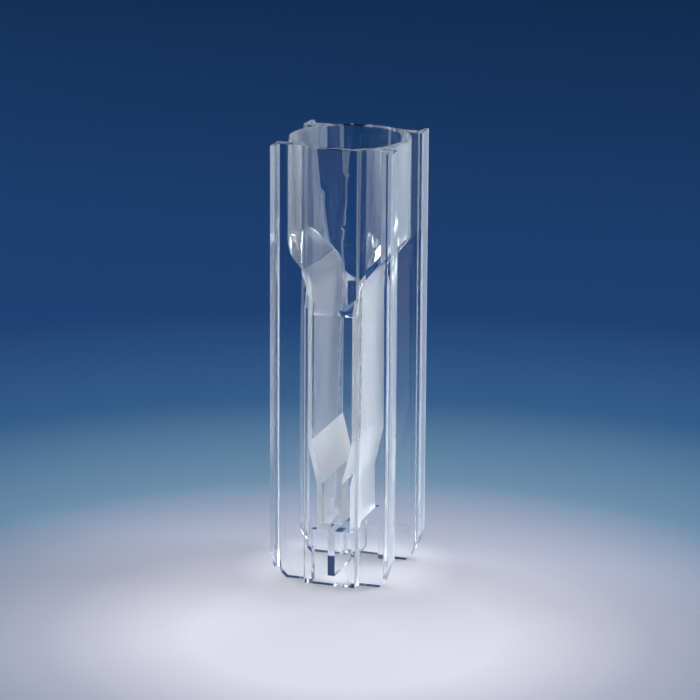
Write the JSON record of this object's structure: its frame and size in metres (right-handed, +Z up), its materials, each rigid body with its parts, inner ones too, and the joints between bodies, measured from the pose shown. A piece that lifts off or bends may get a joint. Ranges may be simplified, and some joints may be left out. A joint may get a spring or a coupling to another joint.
{
  "type": "cuvette",
  "caption": "Clear moulded cuvette for small samples: round filling tube narrowing to a slim chamber between flat windows, with ribbed front and back panels.",
  "frame": {"origin": "middle of the footprint, on the plane the panels stand on", "axes": "+Z up from the foot to the mouth, Y along the light path with the front window at -Y, X across the width"},
  "size_m": [0.0126, 0.0126, 0.045],
  "materials": {
    "clear_plastic": "clear polished polystyrene, lightly frosted on the moulded side walls"
  },
  "bodies": {
    "root": {"cuvette": "clear_plastic"}
  },
  "joints": []
}
